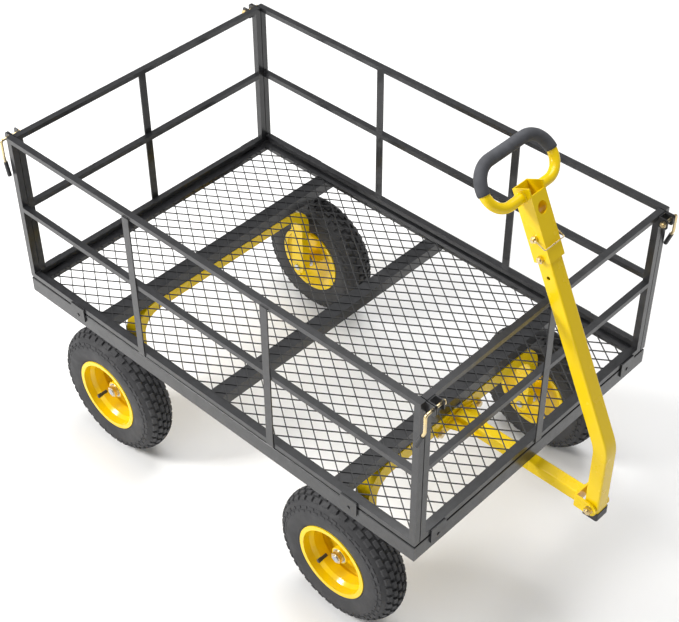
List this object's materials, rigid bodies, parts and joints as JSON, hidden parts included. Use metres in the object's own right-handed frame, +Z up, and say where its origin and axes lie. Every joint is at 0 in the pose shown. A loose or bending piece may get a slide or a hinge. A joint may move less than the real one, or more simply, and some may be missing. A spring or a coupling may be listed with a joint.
{
  "type": "garden cart",
  "caption": "Four-wheeled steel garden cart with a mesh deck, removable side panels held by corner latches, a steered front yoke and a leaning pull handle with a hitch head.",
  "frame": {"origin": "on the ground under the middle of the overall box", "axes": "+X forward, towards the handle; +Y to the cart's left; +Z up"},
  "size_m": [1.3855, 0.7958, 1.0909],
  "materials": {
    "charcoal_paint": "satin textured powder coat",
    "charcoal_mesh": "satin powder coat",
    "yellow_paint": "gloss enamel",
    "yellow_rim": "gloss enamel",
    "tyre_rubber": "matte rubber",
    "bearing_steel": "ground steel",
    "valve_rubber": "matte",
    "plated_steel": "yellow zinc plated",
    "axle_steel": "zinc plated",
    "black_vinyl": "satin vinyl",
    "cap_rubber": "satin rubber",
    "grip_foam": "fine closed-cell foam"
  },
  "bodies": {
    "cart": {"bed_frame": "charcoal_paint", "crossbar_rear": "charcoal_paint", "crossbar_middle": "charcoal_paint", "crossbar_front": "charcoal_paint", "deck_mesh": "charcoal_mesh", "long_panel_left": "charcoal_paint", "long_panel_right": "charcoal_paint", "short_panel_front": "charcoal_paint", "short_panel_rear": "charcoal_paint", "rear_yoke": "yellow_paint", "rear_axles": "axle_steel", "rear_axle_nuts": "plated_steel", "kingpin": "axle_steel", "kingpin_nut": "axle_steel", "thrust_washer": "axle_steel", "latch_nut_front_left": "plated_steel", "latch_nut_front_right": "plated_steel", "latch_nut_rear_left": "plated_steel", "latch_nut_rear_right": "plated_steel"},
    "steering": {"front_yoke": "yellow_paint", "front_axles": "axle_steel", "front_axle_nuts": "plated_steel", "drawbar": "yellow_paint", "drawbar_root": "yellow_paint", "drawbar_clevis": "yellow_paint", "drawbar_bolts": "plated_steel", "pivot_bolt": "plated_steel", "pivot_nut": "plated_steel"},
    "handle": {"handle_tube": "yellow_paint", "handle_cap": "cap_rubber", "handle_head": "yellow_paint", "loop_handle": "yellow_paint", "foam_grip": "grip_foam", "flip_bolt": "plated_steel"},
    "hitch_pin": {"lock_pin": "plated_steel", "lock_bail": "plated_steel"},
    "wheel_front_left": {"tyre_front_left": "tyre_rubber", "rim_front_left": "yellow_rim", "hub_bearings_front_left": "bearing_steel", "valve_front_left": "valve_rubber"},
    "latch_front_left": {"latch_rod_front_left": "plated_steel", "latch_sleeve_front_left": "black_vinyl"},
    "wheel_front_right": {"tyre_front_right": "tyre_rubber", "rim_front_right": "yellow_rim", "hub_bearings_front_right": "bearing_steel", "valve_front_right": "valve_rubber"},
    "latch_front_right": {"latch_rod_front_right": "plated_steel", "latch_sleeve_front_right": "black_vinyl"},
    "wheel_rear_left": {"tyre_rear_left": "tyre_rubber", "rim_rear_left": "yellow_rim", "hub_bearings_rear_left": "bearing_steel", "valve_rear_left": "valve_rubber"},
    "latch_rear_left": {"latch_rod_rear_left": "plated_steel", "latch_sleeve_rear_left": "black_vinyl"},
    "wheel_rear_right": {"tyre_rear_right": "tyre_rubber", "rim_rear_right": "yellow_rim", "hub_bearings_rear_right": "bearing_steel", "valve_rear_right": "valve_rubber"},
    "latch_rear_right": {"latch_rod_rear_right": "plated_steel", "latch_sleeve_rear_right": "black_vinyl"}
  },
  "joints": [
    {"name": "steering_turn", "type": "hinge", "parent": "cart", "child": "steering", "pos_m": [0.2885, 0, 0.3646], "axis": [0, 0, 1], "range_deg": [-2, 2]},
    {"name": "handle_pitch", "type": "hinge", "parent": "steering", "child": "handle", "pos_m": [0.674, 0, 0.337], "axis": [0, 1, 0], "range_deg": [0, 125]},
    {"name": "hitch_pin_turn", "type": "hinge", "parent": "handle", "child": "hitch_pin", "pos_m": [0.47219, 0, 0.93259], "axis": [0, 1, 0], "range_deg": [-74, 0]},
    {"name": "wheel_spin_front_left", "type": "hinge", "parent": "steering", "child": "wheel_front_left", "pos_m": [0.2885, 0.3447, 0.165], "axis": [0, 1, 0], "continuous": true},
    {"name": "latch_turn_front_left", "type": "hinge", "parent": "cart", "child": "latch_front_left", "pos_m": [0.531, 0.39, 0.785], "axis": [0, 1, 0], "continuous": true},
    {"name": "wheel_spin_front_right", "type": "hinge", "parent": "steering", "child": "wheel_front_right", "pos_m": [0.2885, -0.3447, 0.165], "axis": [0, 1, 0], "continuous": true},
    {"name": "latch_turn_front_right", "type": "hinge", "parent": "cart", "child": "latch_front_right", "pos_m": [0.531, -0.39, 0.785], "axis": [0, 1, 0], "continuous": true},
    {"name": "wheel_spin_rear_left", "type": "hinge", "parent": "cart", "child": "wheel_rear_left", "pos_m": [-0.4425, 0.3447, 0.165], "axis": [0, 1, 0], "continuous": true},
    {"name": "latch_turn_rear_left", "type": "hinge", "parent": "cart", "child": "latch_rear_left", "pos_m": [-0.685, 0.39, 0.785], "axis": [0, 1, 0], "continuous": true},
    {"name": "wheel_spin_rear_right", "type": "hinge", "parent": "cart", "child": "wheel_rear_right", "pos_m": [-0.4425, -0.3447, 0.165], "axis": [0, 1, 0], "continuous": true},
    {"name": "latch_turn_rear_right", "type": "hinge", "parent": "cart", "child": "latch_rear_right", "pos_m": [-0.685, -0.39, 0.785], "axis": [0, 1, 0], "continuous": true}
  ]
}
